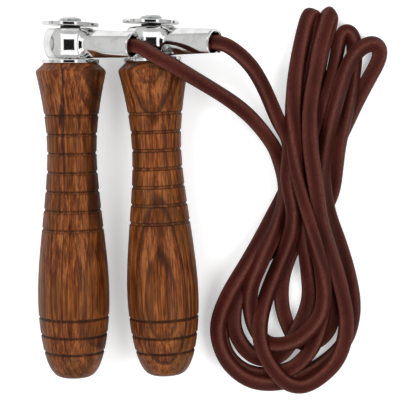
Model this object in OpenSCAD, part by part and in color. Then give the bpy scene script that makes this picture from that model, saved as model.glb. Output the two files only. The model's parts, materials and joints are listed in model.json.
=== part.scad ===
// Boxing jump rope: two turned wooden handles that spin on ball-bearing swivel eyes,
// joined by one leather rope that lies gathered in a loose hank beside them.
// The whole rope lies on the XY plane, +Z up, with both handles along Y and their
// swivels at the +Y end. The origin is under the middle of the two handles' box.

/* [Handles] */
// Length of each wooden handle
handle_len = 150; // [146:1:154]
// Diameter of the flat face at the swivel end
top_face_d = 25.4; // [24:0.1:28]
// Diameter of the shoulder below the chamfer
shoulder_d = 32.9; // [31:0.1:34]
// Diameter at the waist, the thinnest place of the grip
waist_d = 23.4; // [22:0.1:27]
// Largest diameter of the bulge near the free end
bulge_d = 34.1; // [33:0.1:36]
// Width of each turned V groove at the surface
groove_w = 1.4; // [0.8:0.1:1.8]
// Depth of each turned V groove
groove_depth = 0.5; // [0.2:0.1:0.8]
// Spacing of the seven upper grooves, left handle then right
groove_pitch = [8.95, 8.6]; // [8:0.05:9.3]

/* [Swivel eyes] */
// Diameter of the ball that the barrel is cut from
barrel_d = 25.4; // [25:0.1:27]
// Outer diameter of the tube that holds the rope
tube_d = 13; // [12.6:0.1:13]
// Distance from the handle's axis to the tube's mouth
tube_reach = 36; // [34:0.5:38]
// Bore of the tube at its mouth
mouth_bore_d = 9.2; // [8.8:0.1:9.8]
// How far each tube is rolled up from level, left then right
tube_roll = [31, 35]; // [30:1:40]
// How far each tube droops from square to its handle, left then right
tube_droop = [2.5, 3.5]; // [0:0.5:3.5]

/* [Stack on the screw] */
// Diameter of the two washers
washer_d = 26.8; // [25:0.1:28]
// Thickness of the two washers
washer_t = 1.9; // [1.6:0.1:2.2]
// Diameter of the wood screw
screw_d = 4.9; // [4.7:0.1:4.9]
// Diameter of the wood screw's head
screw_head_d = 10.4; // [9:0.1:11]
// Length of the wood screw inside the handle
screw_grip = 30; // [25:1:35]

/* [Rope] */
// Diameter of the round rope
rope_d = 6.4; // [6:0.1:6.4]
// Height of the gathered hank above the surface it lies on
hank_h = 16; // [14:1:20]

/* [Hidden] */

LEFT = 0;
RIGHT = 1;
ROUND = 72;   // segments of a full circle on turned parts
gap = 0.05;   // radial clearance of parts that pass over the screw
over = 1;     // how far a cutter runs past the face it cuts

// Where each handle's axis meets its top face, and how far its top leans to the left
pivot = [[-27.2, 63.7], [11.4, 64.7]];
lean = [0.2, 2.3];
axis_z = bulge_d / 2;

// Lengths and heights along the handle's axis, measured from its top face
bearing_w = 5;
shim_t = 0.4;
inner_shoulder = 4;
collar_t = 1.2;
shim_z = washer_t;
barrel_z = shim_z + shim_t;
spacer_z = barrel_z + bearing_w;
upper_bearing_z = spacer_z + inner_shoulder;
collar_z = upper_bearing_z + bearing_w;
upper_washer_z = collar_z + collar_t;
head_z = upper_washer_z + washer_t;
barrel_h = 2 * bearing_w + inner_shoulder;
mid_z = barrel_z + barrel_h / 2;

// Radii and rims of the plain turned pieces
spacer_r = 3.8;
collar_r = 4.7;
washer_rim = 0.4;

// Wood screw: its head from the rim up, the cross recess and the point
head_h = 2.1;
head_edge = 0.5;
head_rim_top = 1.1;
head_crown = [0.9, 1.8];
head_flat = 2.2;
recess_len = 4.8;
recess_w = 0.9;
recess_depth = 1.3;
recess_turn = 20;
screw_tip = 3;
screw_point_r = 0.6;

// Ball bearing, 5 x 16 x 5
bearing_r = 8;
bearing_bore_r = 2.5;
inner_ring_r = 4.2;
outer_ring_r = 6.3;
ball_pitch_r = 5.25;
ball_r = 1.4;
ball_count = 7;
race_gap = 0.03;
cage_r = [4.7, 5.8];
cage_h = 3.6;

// Rope socket in the tube, and the screw that clamps the rope in it
root_bore_r = 3.5;
root_end = 9.5;
root_len = 8;
clamp_at = 13.2;
clamp_turn = [220, 33];
clamp_r = 1.5;
clamp_tip = 2.9;
clamp_head_r = 2.4;
clamp_head_h = 1.7;
clamp_head_bevel = 0.8;
clamp_room = 0.3;
clamp_seat = 0.4;
clamp_slot_w = 0.7;
clamp_slot_depth = 0.8;

// Concave blend that touches both the ball and the tube, along the tube.
// Its cutter sinks a little into both, so that the surfaces cross and don't just graze.
blend_r = 4;
blend_sunk = 0.03;
blend_from = 6;
blend_end_sunk = 0.4;
face_step = 0.15;
blend_middle = [
  tube_d / 2 + blend_r - blend_sunk,
  sqrt(pow(barrel_d / 2 + blend_r - blend_sunk, 2) - pow(tube_d / 2 + blend_r - blend_sunk, 2))
];
blend_rise = blend_middle[0] * barrel_d / (barrel_d + 2 * blend_r);

// Handle outline, as radii against distance below the top face
chamfer_len = 3;
shoulder_at = 4.4;
waist_at = 42;
bulge_at = 111;
end_r = 5;
curve_steps = 9;
first_groove = 24.3;
upper_grooves = 7;
lower_grooves = [[120.3, 128.7, 137], [121.4, 129.9, 137.6]];

// Route of each rope lead's middle beyond its socket, until it enters the hank
lead_route = [
  [[10, 68.5, 39], [20, 63.5, 38.5], [29, 58, 34.5], [39, 52, 27.5], [49, 45.5, 20], [58, 38, 13],
    [66, 28.5, 9.5], [71, 20, 8.5]],
  [[49.5, 69.5, 38], [57, 62.5, 33], [62.5, 54, 25.5], [66.5, 46, 18.5], [71, 36, 13], [76, 26, 11]]
];
lead_sides = 10;

// Outline of the hank, anticlockwise from its upper left
hank_points = [
  [75, 49], [75, 33], [72, 16], [72, 3], [58, -19], [46, -41], [39.5, -62], [41, -75], [49, -88],
  [63, -94], [83, -97], [95, -94.5], [108, -79], [113, -56], [112, -41], [104, -21], [98.5, -6],
  [99, 15], [106, 30], [119, 58], [122.5, 70], [117.5, 76], [104, 82], [96, 89.5], [87.5, 89],
  [82, 80.5], [77, 65]
];
hank_steps = 3;

wood = "#8a4a24";
chrome = "#dfe1e3";
steel = "#c4c8cc";
zinc = "#b9c4c4";
black = "#202022";
leather = "#8c4640";
cage_tan = "#b08a52";

// ---- Curves

// Points on a cubic curve from a to d with handles b and c, leaving out the last
function curve(a, b, c, d, steps) = [
  for (i = [0 : steps - 1])
    let (t = i / steps, s = 1 - t)
      s * s * s * a + 3 * s * s * t * b + 3 * s * t * t * c + t * t * t * d
];

// One point between p1 and p2 of a smooth curve through four points
function through(p0, p1, p2, p3, t) =
  0.5 * (2 * p1 + (p2 - p0) * t + (2 * p0 - 5 * p1 + 4 * p2 - p3) * t * t
    + (3 * p1 - p0 - 3 * p2 + p3) * t * t * t);

// A closed smooth curve through a ring of points
function smooth_ring(pts, steps) =
  let (n = len(pts))
    [for (i = [0 : n - 1], j = [0 : steps - 1])
      through(pts[(i + n - 1) % n], pts[i], pts[(i + 1) % n], pts[(i + 2) % n], j / steps)];

function unit(v) = v / norm(v);

// ---- Places

// Turns local +Z to world +Y and stands on the handle's axis at its top face
module on_axis(side) {
  translate([pivot[side][0], pivot[side][1], axis_z])
    rotate([0, 0, lean[side]])
      rotate([-90, 0, 0])
        children();
}

// Stands at the barrel's middle with +X out along the tube
module on_tube(side) {
  translate([0, 0, mid_z])
    rotate([0, 0, -tube_roll[side]])
      rotate([0, tube_droop[side], 0])
        children();
}

// The tube's direction in the world, by the same turns
function tube_dir(side) =
  let (d = tube_droop[side], r = tube_roll[side], a = lean[side],
       v = [cos(d) * cos(r), -sin(d), cos(d) * sin(r)])
    [v[0] * cos(a) - v[1] * sin(a), v[0] * sin(a) + v[1] * cos(a), v[2]];

function eye_middle(side) =
  [pivot[side][0] - mid_z * sin(lean[side]), pivot[side][1] + mid_z * cos(lean[side]), axis_z];

// ---- Turned shapes

module ring(r_in, r_out, h) {
  difference() {
    cylinder(r = r_out, h = h, $fn = ROUND);
    translate([0, 0, -over]) cylinder(r = r_in, h = h + 2 * over, $fn = ROUND);
  }
}

// A disc with both rims chamfered
module chamfered_disc(r, h, c) {
  rotate_extrude($fn = ROUND)
    polygon([[0, 0], [r - c, 0], [r, c], [r, h - c], [r - c, h], [0, h]]);
}

// ---- Handle

handle_outline = concat(
  [[0, top_face_d / 2], [chamfer_len, shoulder_d / 2 - 0.5]],
  curve([shoulder_at, shoulder_d / 2], [16, 13.9], [28, waist_d / 2], [waist_at, waist_d / 2], curve_steps),
  curve([waist_at, waist_d / 2], [62, waist_d / 2], [89, bulge_d / 2],
    [bulge_at, bulge_d / 2], curve_steps),
  curve([bulge_at, bulge_d / 2], [127, bulge_d / 2], [handle_len - 1, 13.4],
    [handle_len, end_r], curve_steps),
  [[handle_len, end_r]]
);

function groove_places(side) =
  concat([for (i = [0 : upper_grooves - 1]) first_groove + i * groove_pitch[side]], lower_grooves[side]);

// One V groove cut all round, at the given distance below the top face
module groove(at) {
  rotate_extrude($fn = ROUND)
    translate([lookup(at, handle_outline), -at])
      polygon([[-groove_depth, 0], [over, -groove_w], [over, groove_w]]);
}

module wooden_handle(side) {
  color(wood)
    difference() {
      rotate_extrude($fn = ROUND)
        polygon(concat(
          [[0, -handle_len], [0, 0]],
          [for (p = handle_outline) [p[1], -p[0]]]
        ));
      for (at = groove_places(side)) groove(at);
      translate([0, 0, -screw_grip]) cylinder(r = screw_d / 2, h = screw_grip + over, $fn = ROUND);
    }
}

// ---- Stack on the screw

module washer(z) {
  color(chrome)
    translate([0, 0, z])
      difference() {
        chamfered_disc(washer_d / 2, washer_t, washer_rim);
        translate([0, 0, -over])
          cylinder(r = screw_d / 2 + 0.2, h = washer_t + 2 * over, $fn = ROUND);
      }
}

module shim() {
  color(steel) translate([0, 0, shim_z]) ring(screw_d / 2 + gap, inner_ring_r, shim_t);
}

module bearing_spacer() {
  color(steel) translate([0, 0, spacer_z]) ring(screw_d / 2 + gap, spacer_r, inner_shoulder);
}

module collar() {
  color(black) translate([0, 0, collar_z]) ring(screw_d / 2 + gap, collar_r, collar_t);
}

// Two crossed slots that a cross-head driver fits
module cross_recess() {
  for (turn = [recess_turn, recess_turn + 90])
    rotate([0, 0, turn])
      translate([-recess_len / 2, -recess_w / 2, head_h - recess_depth])
        cube([recess_len, recess_w, recess_depth + over]);
}

module wood_screw() {
  color(zinc)
    translate([0, 0, head_z]) {
      difference() {
        rotate_extrude($fn = ROUND)
          polygon([[0, 0], [screw_head_d / 2 - head_edge, 0], [screw_head_d / 2, head_edge],
            [screw_head_d / 2, head_rim_top], [screw_head_d / 2 - head_crown[0], head_crown[1]],
            [screw_head_d / 2 - head_flat, head_h], [0, head_h]]);
        cross_recess();
      }
      translate([0, 0, screw_tip - head_z - screw_grip])
        cylinder(r = screw_d / 2, h = head_z + screw_grip - screw_tip, $fn = ROUND);
      translate([0, 0, -head_z - screw_grip])
        cylinder(r1 = screw_point_r, r2 = screw_d / 2, h = screw_tip, $fn = ROUND);
    }
}

// ---- Ball bearings

// The groove that the balls run in, as a cutter
module race_cutter() {
  rotate_extrude($fn = ROUND)
    translate([ball_pitch_r, bearing_w / 2])
      circle(r = ball_r + race_gap, $fn = 40);
}

module inner_ring(z) {
  color(steel)
    translate([0, 0, z])
      difference() {
        ring(bearing_bore_r, inner_ring_r, bearing_w);
        race_cutter();
      }
}

module outer_ring(z) {
  color(steel)
    translate([0, 0, z])
      difference() {
        ring(outer_ring_r, bearing_r, bearing_w);
        race_cutter();
      }
}

module at_balls(z) {
  for (i = [0 : ball_count - 1])
    rotate([0, 0, i * 360 / ball_count])
      translate([ball_pitch_r, 0, z + bearing_w / 2])
        children();
}

module balls(z) {
  color(chrome) at_balls(z) sphere(r = ball_r, $fn = 32);
}

module cage(z) {
  color(cage_tan)
    difference() {
      translate([0, 0, z + (bearing_w - cage_h) / 2]) ring(cage_r[0], cage_r[1], cage_h);
      at_balls(z)
        cube([2 * ball_r, 2 * (ball_r + race_gap), 2 * (ball_r + race_gap)], center = true);
    }
}

// ---- Swivel eye

// The plain tube, along +X
module tube_outside() {
  rotate([0, 90, 0]) cylinder(r = tube_d / 2, h = tube_reach, $fn = ROUND);
}

// Concave blend between the barrel and the tube, no taller than the barrel
module root_blend(side) {
  intersection() {
    rotate([0, 90, 0])
      rotate_extrude($fn = ROUND)
        difference() {
          translate([0, blend_from])
            square([blend_rise, blend_middle[1] - blend_from - blend_end_sunk]);
          translate(blend_middle) circle(r = blend_r, $fn = ROUND);
        }
    rotate([0, -tube_droop[side], 0])
      translate([-2 * barrel_d, -barrel_d, -barrel_h / 2 + face_step])
        cube([4 * barrel_d, 2 * barrel_d, barrel_h - 2 * face_step]);
  }
}

// Runs from the tube's middle outward through its wall at the clamp screw
module on_clamp(side) {
  translate([clamp_at, 0, 0])
    rotate([clamp_turn[side], 0, 0])
      rotate([90, 0, 0])
        children();
}

module swivel_eye(side) {
  color(chrome)
    difference() {
      union() {
        translate([0, 0, mid_z])
          intersection() {
            sphere(r = barrel_d / 2, $fn = ROUND);
            translate([0, 0, -barrel_h / 2]) cylinder(r = barrel_d, h = barrel_h, $fn = ROUND);
          }
        on_tube(side) {
          difference() {
            tube_outside();
            translate([-over, -barrel_d, -barrel_d]) cube([over + root_end, 2 * barrel_d, 2 * barrel_d]);
          }
          root_blend(side);
        }
      }
      translate([0, 0, barrel_z - over]) cylinder(r = bearing_r, h = bearing_w + over, $fn = ROUND);
      translate([0, 0, spacer_z - over])
        cylinder(r = outer_ring_r, h = inner_shoulder + 2 * over, $fn = ROUND);
      translate([0, 0, upper_bearing_z])
        cylinder(r = bearing_r, h = bearing_w + over, $fn = ROUND);
      on_tube(side) {
        translate([root_end, 0, 0])
          rotate([0, 90, 0]) cylinder(r = root_bore_r, h = tube_reach, $fn = ROUND);
        translate([root_end + root_len, 0, 0])
          rotate([0, 90, 0]) cylinder(r = mouth_bore_d / 2, h = tube_reach, $fn = ROUND);
        on_clamp(side) cylinder(r = clamp_r, h = barrel_d, $fn = 40);
        on_clamp(side)
          translate([0, 0, tube_d / 2 - clamp_seat])
            cylinder(r = clamp_head_r + clamp_room, h = barrel_d, $fn = 40);
      }
    }
}

module clamp_screw(side) {
  color(zinc)
    on_tube(side)
      on_clamp(side) {
        translate([0, 0, clamp_tip])
          cylinder(r = clamp_r, h = tube_d / 2 - clamp_seat - clamp_tip, $fn = 40);
        translate([0, 0, tube_d / 2 - clamp_seat])
          difference() {
            rotate_extrude($fn = 40)
              polygon([[0, 0], [clamp_head_r, 0], [clamp_head_r, clamp_head_h - clamp_head_bevel],
                [clamp_head_r - clamp_head_bevel, clamp_head_h], [0, clamp_head_h]]);
            translate([-clamp_head_r - over, -clamp_slot_w / 2, clamp_head_h - clamp_slot_depth])
              cube([2 * (clamp_head_r + over), clamp_slot_w, clamp_slot_depth + over]);
          }
      }
}

// ---- Rope

// Middle of a lead: straight along its socket, then over to the hank
function lead_points(side) =
  concat(
    [for (s = [root_end, root_end + root_len, tube_reach, tube_reach + 4])
      eye_middle(side) + s * tube_dir(side)],
    lead_route[side]
  );

// Direction of a route at its point i
function route_dir(pts, i) =
  unit(pts[min(i + 1, len(pts) - 1)] - pts[max(i - 1, 0)]);

// One round section of the tube about a point, level with the ground
function section(p, dir, r, sides) =
  let (across = unit(cross(dir, [0, 0, 1])), up = cross(across, dir))
    [for (k = [0 : sides - 1]) p + r * (cos(k * 360 / sides) * across + sin(k * 360 / sides) * up)];

// A closed tube of one radius swept along a route
module swept_tube(pts, r, sides) {
  n = len(pts);
  skin = [for (i = [0 : n - 1]) each section(pts[i], route_dir(pts, i), r, sides)];
  walls = [
    for (i = [0 : n - 2], k = [0 : sides - 1])
      let (a = i * sides + k, b = i * sides + (k + 1) % sides)
        each [[a, a + sides, b], [b, a + sides, b + sides]]
  ];
  start_cap = [for (k = [0 : sides - 1]) k];
  end_cap = [for (k = [sides - 1 : -1 : 0]) (n - 1) * sides + k];
  polyhedron(points = skin, faces = concat(walls, [start_cap], [end_cap]), convexity = 6);
}

module rope_lead(side) {
  color(leather) swept_tube(lead_points(side), rope_d / 2, lead_sides);
}

module rope_hank() {
  color(leather)
    linear_extrude(height = hank_h)
      polygon(smooth_ring(hank_points, hank_steps));
}

// ---- Nodes

on_axis(LEFT) wooden_handle(LEFT);  // left_handle
on_axis(LEFT) washer(0);  // left_lower_washer
on_axis(LEFT) shim();  // left_shim
on_axis(LEFT) inner_ring(barrel_z);  // left_lower_inner_ring
on_axis(LEFT) outer_ring(barrel_z);  // left_lower_outer_ring
on_axis(LEFT) balls(barrel_z);  // left_lower_balls
on_axis(LEFT) cage(barrel_z);  // left_lower_cage
on_axis(LEFT) bearing_spacer();  // left_bearing_spacer
on_axis(LEFT) inner_ring(upper_bearing_z);  // left_upper_inner_ring
on_axis(LEFT) outer_ring(upper_bearing_z);  // left_upper_outer_ring
on_axis(LEFT) balls(upper_bearing_z);  // left_upper_balls
on_axis(LEFT) cage(upper_bearing_z);  // left_upper_cage
on_axis(LEFT) collar();  // left_collar
on_axis(LEFT) washer(upper_washer_z);  // left_upper_washer
on_axis(LEFT) wood_screw();  // left_wood_screw
on_axis(LEFT) swivel_eye(LEFT);  // left_swivel_eye
on_axis(LEFT) clamp_screw(LEFT);  // left_clamp_screw
on_axis(RIGHT) wooden_handle(RIGHT);  // right_handle
on_axis(RIGHT) washer(0);  // right_lower_washer
on_axis(RIGHT) shim();  // right_shim
on_axis(RIGHT) inner_ring(barrel_z);  // right_lower_inner_ring
on_axis(RIGHT) outer_ring(barrel_z);  // right_lower_outer_ring
on_axis(RIGHT) balls(barrel_z);  // right_lower_balls
on_axis(RIGHT) cage(barrel_z);  // right_lower_cage
on_axis(RIGHT) bearing_spacer();  // right_bearing_spacer
on_axis(RIGHT) inner_ring(upper_bearing_z);  // right_upper_inner_ring
on_axis(RIGHT) outer_ring(upper_bearing_z);  // right_upper_outer_ring
on_axis(RIGHT) balls(upper_bearing_z);  // right_upper_balls
on_axis(RIGHT) cage(upper_bearing_z);  // right_upper_cage
on_axis(RIGHT) collar();  // right_collar
on_axis(RIGHT) washer(upper_washer_z);  // right_upper_washer
on_axis(RIGHT) wood_screw();  // right_wood_screw
on_axis(RIGHT) swivel_eye(RIGHT);  // right_swivel_eye
on_axis(RIGHT) clamp_screw(RIGHT);  // right_clamp_screw
rope_lead(LEFT);  // left_rope_lead
rope_lead(RIGHT);  // right_rope_lead
rope_hank();
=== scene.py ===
"""Looks of the boxing jump rope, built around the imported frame.

Everything is in metres in the part's own frame: the rope lies on the XY plane, both handles
point along Y with their swivels at the +Y end, and the camera looks down from above.
"""
import json
import math

import bpy
import numpy as np
from mathutils import Matrix, Vector, noise


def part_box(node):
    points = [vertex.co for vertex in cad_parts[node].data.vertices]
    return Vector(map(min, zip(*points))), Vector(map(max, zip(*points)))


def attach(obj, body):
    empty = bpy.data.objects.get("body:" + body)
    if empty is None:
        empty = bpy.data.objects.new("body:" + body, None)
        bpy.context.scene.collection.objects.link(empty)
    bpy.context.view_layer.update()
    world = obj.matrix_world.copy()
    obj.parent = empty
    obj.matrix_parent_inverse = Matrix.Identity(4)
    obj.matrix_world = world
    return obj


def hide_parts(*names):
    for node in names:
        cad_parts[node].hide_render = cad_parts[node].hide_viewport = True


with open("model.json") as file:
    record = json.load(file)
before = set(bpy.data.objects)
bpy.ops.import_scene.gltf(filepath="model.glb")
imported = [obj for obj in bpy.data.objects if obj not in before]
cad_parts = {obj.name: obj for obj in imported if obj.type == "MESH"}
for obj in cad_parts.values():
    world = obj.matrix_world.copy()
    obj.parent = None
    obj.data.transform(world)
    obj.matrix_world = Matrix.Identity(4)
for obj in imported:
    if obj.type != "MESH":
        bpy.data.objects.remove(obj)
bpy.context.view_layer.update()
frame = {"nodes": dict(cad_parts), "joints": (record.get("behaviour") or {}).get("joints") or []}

MM = 0.001
SIDES = ("left", "right")

scene = bpy.context.scene
scene.view_settings.view_transform = "Standard"


# ---- Camera ---------------------------------------------------------------------------------

CAMERA_PITCH = math.radians(5.7)        # how far the view leans from straight down
CAMERA_DISTANCE = 618 * MM
CAMERA_LENS = 117
SENSOR_WIDTH = 36
LOOK_AT = Vector((33.6, -0.9, 17.05)) * MM


def make_camera():
    data = bpy.data.cameras.new("camera")
    data.lens = CAMERA_LENS
    data.sensor_width = SENSOR_WIDTH
    camera = bpy.data.objects.new("camera", data)
    scene.collection.objects.link(camera)
    back = Vector((0, math.sin(CAMERA_PITCH), math.cos(CAMERA_PITCH)))
    camera.location = LOOK_AT + CAMERA_DISTANCE * back
    camera.rotation_euler = (-CAMERA_PITCH, 0, 0)
    scene.camera = camera


# ---- Rope route -----------------------------------------------------------------------------

# Socket of each rope end, as its eye has it: where the handle's axis and the tube's axis meet,
# and how the tube is turned from there.
EYE_HEIGHT = 9.3 * MM
TUBE_ROLL = {"left": math.radians(31), "right": math.radians(35)}
TUBE_DROOP = {"left": math.radians(2.5), "right": math.radians(3.5)}
TUBE_REACH = 36 * MM
SOCKET_END = 9.5 * MM
SOCKET_STEP = 17.5 * MM
PAST_MOUTH = 4 * MM

# Middle of each lead beyond its socket, in millimetres, until it enters the hank
LEAD_ROUTE = {
    "left": [(10, 68.5, 39), (20, 63.5, 38.5), (29, 58, 34.5), (39, 52, 27.5), (49, 45.5, 20),
             (58, 38, 13), (66, 28.5, 9.5), (71, 20, 8.5)],
    "right": [(49.5, 69.5, 38), (57, 62.5, 33), (62.5, 54, 25.5), (66.5, 46, 18.5), (71, 36, 13),
              (76, 26, 11)],
}

# The hank, one row for each run or bend, in millimetres from the left lead to the right one.
# The third number is the layer that the rope passes in where it crosses itself.
HANK_ROUTE = [
    # down over the waist and round the inner bend
    (75, 4, 11), (72, -11, 9), (64, -28, 8), (58, -44, 9), (59, -61, 7), (64, -71, 6), (69, -73, 6),
    (81, -69, 12), (92, -57, 12), (93, -40, 13), (89, -24, 17), (84, -7, 20), (80, 9, 21),
    # up the left edge to the first loop, and down underneath it
    (78, 24, 17), (77.5, 37, 15), (78, 49, 13), (79.5, 61, 12), (82, 73, 11.5), (84.5, 83.5, 10.5),
    (87, 90, 8.5), (89, 87.2, 5.5), (88, 78, 4), (85, 65, 3), (82, 49, 3), (81, 34, 5), (81, 16, 11),
    (81, -1, 14), (83, -18, 11), (86, -35, 8), (87, -52, 6),
    # low bend from right to left, then across the waist underneath
    (80, -68, 9), (73, -79, 4), (66, -81, 4), (58, -78.5, 4), (50.5, -66, 3), (51.5, -49, 4),
    (60, -32, 4), (70, -22, 4), (83, -15, 4), (93, -8, 5), (98, 2, 6), (99, 13, 8),
    (100, 25, 9.5), (102.5, 36, 9.5), (105, 47, 8), (107, 58, 6), (108, 68, 5),
    # the third loop, and down to the left outside
    (107.5, 75.5, 6), (104, 81, 8), (101, 77, 9.5), (98.8, 66, 10), (96, 55, 10), (92, 44, 9),
    (87, 28, 8), (80, 13, 7), (73, -3, 8), (65, -17, 9), (55.5, -33, 9), (47, -48, 9), (42, -65, 9),
    (47, -81, 8), (60, -91, 5),
    # along the bottom and up the right outside
    (77, -91, 3), (93, -84, 4), (105, -72, 6), (109, -56, 6), (106, -38, 6), (101, -22, 9),
    (95, -6, 13), (92.5, 11, 12), (94, 26, 12), (96.5, 39, 12), (100, 52, 12), (104, 63, 12),
    (109.5, 70.5, 11), (116, 73.7, 9),
    # the far right loop, and down across the waist on the floor
    (120.5, 71.5, 6.5), (119.5, 65, 4.5), (115, 56.5, 3), (109.5, 46, 3), (103.5, 33, 3), (96, 17, 3),
    (89, 4, 3), (78, -12, 4), (68, -26, 4), (56, -41, 4), (48, -53, 4), (44, -65, 3), (46, -77, 3),
    (54, -86, 3),
    # middle bend from left to right, and up to the short loop that the others hide
    (65, -89, 4), (77, -86, 5), (88, -75, 9), (94, -57, 8), (94, -40, 6), (90, -23, 8), (86, -7, 11),
    (84, 11, 12), (85, 28, 5), (86, 43, 3), (86, 52, 3), (88, 59, 3), (92, 60, 3), (94, 54, 3),
    # down on the floor and round the lowest bend
    (93.5, 44, 3), (91, 28, 4), (89, 11, 6), (85, -6, 8), (80, -22, 5), (74, -39, 4), (74, -56, 4),
    (80, -71, 4), (86, -74, 4), (92, -72, 4), (98, -64, 3), (99, -46, 4), (96, -30, 7),
    # up through the waist to the second loop, and down over everything
    (91, -13, 12), (87, 3, 16), (86, 21, 13), (87, 37, 9), (89, 50, 6), (91, 62, 5), (94, 74, 5),
    (96.5, 82.5, 6), (97, 90, 8.5), (95, 88.5, 10.5), (92.5, 79, 12), (90, 69, 13), (88, 57, 14),
    (85.5, 41, 17), (85.5, 24, 20), (88, 5, 21), (91, -12, 17), (97, -29, 14), (102, -45, 14),
    (105, -62, 14), (101, -79, 14), (91, -90, 11),
    # the topmost bend, and up to the right lead
    (82, -93.5, 10), (73, -89, 11), (65, -77, 13), (62.5, -66, 14), (64.5, -54, 15),
    (70, -38, 15), (75.5, -23, 16), (78, -8, 18), (75, 10, 18),
]

ROPE_WIDTH = 7.3 * MM
ROPE_THICKNESS = 5.8 * MM
CONTACT = 6.3 * MM          # distance between two runs that touch, middle to middle
LAYER = 1.6 * MM            # runs whose layers differ by more than this lie one over the other
AIM_LIMIT = 5 * MM          # how far past the route a run may be drawn to end up on it
FOLD_RADIUS = 2.2 * MM      # sharper folds than this are eased
FOLD_SPREAD = 5             # samples that give way together at a fold
RING_STEP = 0.55 * MM
NOTICE = 1.45               # reach, in contacts, within which a run turns its flat to another
NOTICE_SKIP = 16            # samples along the rope that don't count as another run
FLAT_HABIT = 0.02           # how much a free run prefers to lie flat
FLOOR_PULL = 1.5            # and one that touches the floor
FLOOR_NOTICE = 1.3          # height, in half contacts, below which a run feels the floor
TWIST_REACH = 48            # samples of the path over which the rope turns from one lie to another
ROPE_SIDES = 24
ROPE_SQUARENESS = 2 / 3.4   # 1 is an ellipse, less is squarer
LEAD_NARROWING = 0.1        # how much slimmer the rope is at its stretched ends
NARROW_LENGTH = 120 * MM    # the narrowing fades between half this length and one and a half
UNEVENNESS = 0.05           # hand-cut leather is never quite even
UNEVEN_PITCH = 40           # swells and narrows per metre
UNEVEN_SEED = (3.3, 1.7)
CORNER_POWER = 3
CORNER_GAIN = 2.2
RELEASE = 16                # samples over which the leads pass from held to lying free

CURVE_STEPS = 24            # points of the curve between two points of the route
PATH_STEP = 2.5 * MM        # samples of the path while it settles
FINE_STEP = 1.25 * MM       # and once it has settled
ROUNDS = 500
THIN_START = 0.5            # share of its thickness that the rope starts with
GROWING = 0.25              # share of the rounds in which it swells to all of it
LAYERING = 0.6              # share of the rounds in which the route's layers still draw it
SAG = 0.05 * MM             # how far a free run drops in each round
AIM_GAIN = 0.04             # how fast the aim moves past the route
DRAW_IN = 0.15              # how strongly a run is drawn to its aim in plan
DRAW_UP = 0.10              # and to its layer
SEARCH = 2.2                # reach, in contacts, within which runs are checked against each other
SEARCH_EVERY = 4            # rounds between two searches
SEARCH_SKIP = 1.6           # length, in contacts, along which neighbours don't push each other
PASSES = 3                  # corrections in each round
BENDING = 0.5
STRETCHING = 0.4
PUSHING = 0.35
LEVELLING = 12              # smoothing turns of the settled heights
ROUNDING = 3                # and of the settled plan and folds
EASING = 0.25


def unit(v):
    return v / np.linalg.norm(v)


def unit_rows(v):
    return v / np.linalg.norm(v, axis=1, keepdims=True)


def smoothstep(x):
    x = np.clip(x, 0, 1)
    return x * x * (3 - 2 * x)


def swivel(side):
    """The foot of a handle's axis and its direction, from the joint that spins the handle."""
    joint = next(j for j in frame["joints"] if j["name"] == f"{side}_grip_spin")
    return np.array(joint["pos_m"], float), unit(np.array(joint["axis"], float))


def tube_axis(side):
    """Where the tube's axis crosses the handle's, and its direction out to the mouth."""
    foot, along = swivel(side)
    across = unit(np.cross(along, [0, 0, 1]))
    roll, droop = TUBE_ROLL[side], TUBE_DROOP[side]
    out = math.cos(droop) * (math.cos(roll) * across + math.sin(roll) * np.array([0, 0, 1]))
    return foot + EYE_HEIGHT * along, out - math.sin(droop) * along


def lead_points(side):
    """The route of one lead: straight through its tube, then on to the hank."""
    middle, out = tube_axis(side)
    along_tube = (SOCKET_END, SOCKET_STEP, TUBE_REACH, TUBE_REACH + PAST_MOUTH)
    inside = [middle + s * out for s in along_tube]
    return inside + [np.array(p) * MM for p in LEAD_ROUTE[side]]


def smooth_path(points, step):
    """A Catmull-Rom curve through the points, sampled evenly."""
    points = np.array(points)
    padded = np.vstack([2 * points[0] - points[1], points, 2 * points[-1] - points[-2]])
    fine = []
    for p0, p1, p2, p3 in zip(padded, padded[1:], padded[2:], padded[3:]):
        t = np.linspace(0, 1, CURVE_STEPS, endpoint=False)[:, None]
        fine.append(0.5 * (2 * p1 + (p2 - p0) * t + (2 * p0 - 5 * p1 + 4 * p2 - p3) * t**2
                           + (3 * p1 - p0 - 3 * p2 + p3) * t**3))
    fine = np.vstack(fine + [points[-1:]])
    return resample(fine, step)


def resample(path, step):
    """The same line with its samples spread evenly, about a step apart."""
    travelled = np.concatenate([[0], np.cumsum(np.linalg.norm(np.diff(path, axis=0), axis=1))])
    count = round(travelled[-1] / step)
    at = np.linspace(0, travelled[-1], count + 1)
    return np.array([np.interp(at, travelled, path[:, k]) for k in range(3)]).T


def near_pairs(path, reach, skip):
    """Index pairs of samples that are within reach of each other and not neighbours."""
    apart = np.linalg.norm(path[:, None] - path[None], axis=2)
    i, j = np.nonzero(np.triu(apart < reach, skip))
    return i, j


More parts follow.
